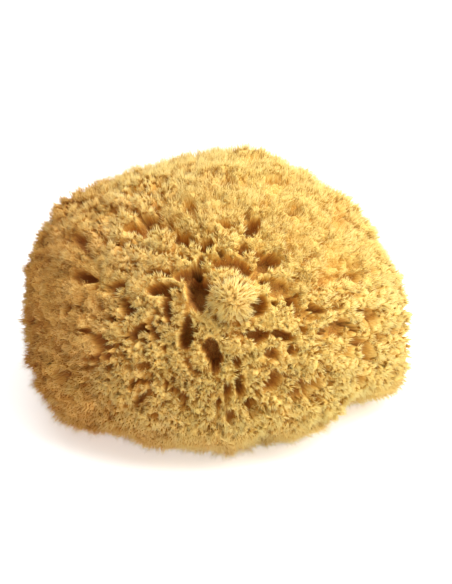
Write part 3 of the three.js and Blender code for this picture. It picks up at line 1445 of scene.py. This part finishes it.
    def piece(
        self,
        name: str,
        roots: Array,
        axis: Array,
        shape: Array,
        looks: Array,
        material: bpy.types.Material,
        rng: np.random.Generator,
    ) -> bpy.types.Object:
        """Makes one quarter's bristles, each a closed three-sided spike.

        Bristles start on a sunflower disc round each bundle's root. Their lean grows towards the disc's rim,
        and those at the rim are shorter, so a bundle ends like a round brush. Each corner's place on the map
        holds its lightness and its warmth, spread a little so that no triangle of the map is flat.

        Args:
            name: the piece's name.
            roots: where each bundle stands.
            axis: which way it points.
            shape: each bundle's length and radius, how thick its bristles are and how blunt it is.
            looks: each bundle's depth, tone and warmth.
            material: the finish.
            rng: the coat's random numbers.

        Returns:
            The piece.
        """
        count = len(roots)
        length, radius, thickness, blunt = shape.T[:, :, None]
        number = np.arange(self.bristles)
        rim = np.sqrt((number + 0.5) / self.bristles)
        turn = number * GOLDEN_ANGLE + rng.uniform(0, 2 * math.pi, (count, 1))
        first, second = tangents(axis)
        side = np.cos(turn)[..., None] * first[:, None] + np.sin(turn)[..., None] * second[:, None]
        brush = rng.uniform(*self.brush_range, (count, 1)) * blunt
        way = axis[:, None] + (brush * rim)[..., None] * side
        way = unit(way + self.bristle_tilt * rng.normal(size=way.shape)).reshape(-1, 3)
        start = roots[:, None] + (radius * rim)[..., None] * side - self.rooted * axis[:, None]
        start = start.reshape(-1, 3)
        uneven = rng.uniform(-self.uneven, self.uneven, (count, self.bristles)) * (2 - blunt)
        reach = length * (1 - self.rim_shorter * rim**2 + uneven)
        reach = reach.reshape(-1, 1) + self.rooted
        thickness = np.repeat(thickness, self.bristles, axis=0)
        points, faces = spikes(start, way, reach, thickness)
        points[:, 2] = np.maximum(points[:, 2], self.floor_gap)
        depth, tone, warmth = np.repeat(looks, self.bristles, axis=0).T
        tone = tone + rng.normal(0, self.bristle_tone, len(tone))
        # Painted shade: the foot is darker than the tip, and both darken with depth
        foot = np.clip(self.foot_light * (1 - depth) + tone, *self.light_range)
        tip = np.clip(self.tip_light - self.pit_shade * depth + tone, *self.light_range)
        light = np.column_stack((foot, foot, foot + self.map_lift, tip))
        warm = np.clip(warmth, *self.warm_range)[:, None] + np.array(self.map_spread)
        places = np.stack((light, warm), axis=-1).reshape(-1, 2)
        return add_piece(name, points, faces, places[faces.ravel()], material)


def spikes(start: Array, way: Array, reach: Array, thickness: Array) -> tuple[Array, Array]:
    """Makes closed spikes: a small triangle square to the way, drawn to a point at the spike's reach.

    Args:
        start: middle of each foot, one a row.
        way: unit vectors from foot to tip.
        reach: lengths, as a column.
        thickness: distances from a foot's middle to its corners, as a column.

    Returns:
        The vertices, four a spike with the tip last, and the triangles.
    """
    first, second = tangents(way)
    angles = np.arange(3) * 2 * math.pi / 3
    ring = np.cos(angles)[:, None] * first[:, None] + np.sin(angles)[:, None] * second[:, None]
    foot = start[:, None] + thickness[:, None] * ring
    tip = start + way * reach
    points = np.concatenate((foot, tip[:, None]), axis=1).reshape(-1, 3)
    pattern = np.array(((0, 1, 3), (1, 2, 3), (2, 0, 3), (0, 2, 1)))
    faces = np.arange(len(start))[:, None, None] * 4 + pattern
    return points, faces.reshape(-1, 3)


@dataclass(frozen=True)
class Lamp:
    """A square soft light that looks at the sponge: its place and size in metres, its power in watts."""

    name: str
    place: tuple[float, float, float]
    size: float
    power: float


LAMPS = (
    Lamp("key", (0.75, -0.3, 1.0), 0.9, 16.5),
    Lamp("ceiling", (0.0, 0.1, 1.6), 1.8, 19.5),
    Lamp("front", (0.5, -1.2, 0.25), 1.0, 4.0),
)


@dataclass
class Studio:
    """A plain pale floor, soft lamps, the strongest at the upper right, and light from all round."""

    floor_size: float = 12.0
    floor_colour: Colour = (0.9, 0.9, 0.9)
    floor_glow: float = 0.45
    floor_roughness: float = 0.9
    floor_drop: float = 0.0002
    room_light: float = 0.36
    room_colour: Colour = (1.0, 0.95, 0.87)
    elevation: float = 28.0
    distance: float = 0.75
    aim: tuple[float, float, float] = (0.0056, 0.0, 0.045)
    lens: float = 111.3

    def build(self) -> None:
        """Makes the floor, the lights and the camera."""
        self.add_floor()
        self.add_lights()
        self.add_camera()

    def add_floor(self) -> None:
        """Lays the floor just under the flat cut."""
        half = self.floor_size / 2
        mesh = bpy.data.meshes.new("floor")
        corners = ((-half, -half), (half, -half), (half, half), (-half, half))
        mesh.from_pydata([(x, y, -self.floor_drop) for x, y in corners], [], [(0, 1, 2, 3)])
        material = bpy.data.materials.new("floor")
        material.use_nodes = True
        shader = material.node_tree.nodes["Principled BSDF"]
        shader.inputs["Base Color"].default_value = (*self.floor_colour, 1.0)
        shader.inputs["Roughness"].default_value = self.floor_roughness
        shader.inputs["Emission Color"].default_value = WHITE
        shader.inputs["Emission Strength"].default_value = self.floor_glow
        mesh.materials.append(material)
        floor = bpy.data.objects.new("floor", mesh)
        bpy.context.scene.collection.objects.link(floor)

    def add_lights(self) -> None:
        """Adds the lamps and the even light of the room."""
        for lamp in LAMPS:
            light = bpy.data.lights.new(lamp.name, "AREA")
            light.size = lamp.size
            light.energy = lamp.power
            holder = bpy.data.objects.new(lamp.name, light)
            holder.location = lamp.place
            holder.rotation_mode = "QUATERNION"
            holder.rotation_quaternion = (Vector(self.aim) - holder.location).to_track_quat("-Z", "Y")
            bpy.context.scene.collection.objects.link(holder)
        bpy.context.scene.world = self.room()
        bpy.context.scene.view_settings.view_transform = "Standard"

    def room(self) -> bpy.types.World:
        """Makes the room: white to the eye, and as bright as the room light on what stands in it.

        Returns:
            The world.
        """
        world = bpy.data.worlds.new("room")
        world.use_nodes = True
        tree = world.node_tree
        dim = tree.nodes["Background"]
        dim.inputs["Color"].default_value = (*self.room_colour, 1.0)
        dim.inputs["Strength"].default_value = self.room_light
        white = tree.nodes.new("ShaderNodeBackground")
        white.inputs["Color"].default_value = WHITE
        path = tree.nodes.new("ShaderNodeLightPath")
        mix = tree.nodes.new("ShaderNodeMixShader")
        tree.links.new(path.outputs["Is Camera Ray"], mix.inputs[0])
        tree.links.new(dim.outputs["Background"], mix.inputs[1])
        tree.links.new(white.outputs["Background"], mix.inputs[2])
        tree.links.new(mix.outputs["Shader"], tree.nodes["World Output"].inputs["Surface"])
        return world

    def add_camera(self) -> None:
        """Sets the camera square in front, looking down at the elevation."""
        data = bpy.data.cameras.new("camera")
        data.lens = self.lens
        camera = bpy.data.objects.new("camera", data)
        up = math.radians(self.elevation)
        back = Vector((0.0, -math.cos(up), math.sin(up)))
        camera.location = Vector(self.aim) + back * self.distance
        camera.rotation_mode = "QUATERNION"
        camera.rotation_quaternion = (-back).to_track_quat("-Z", "Y")
        bpy.context.scene.collection.objects.link(camera)
        bpy.context.scene.camera = camera


def main() -> None:
    """Builds the studio, the sponge's body and its coat."""
    logging.basicConfig(level=logging.INFO, format="%(name)s: %(message)s")
    low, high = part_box(SPONGE_NODE)
    width, depth, height = (high - low) / MM
    form = SpongeForm(width, depth, height)
    surface = SpongeSurface(form, large_tufts(), small_tufts(), knobs(), PitField())
    Studio().build()
    SpongeBody(surface, FibreFinish("sponge_skin", TintSource.ATTRIBUTES)).build()
    BristleCoat(surface, FibreFinish("sponge_bristle", TintSource.UV_MAP)).build()


if __name__ == "__main__":
    main()
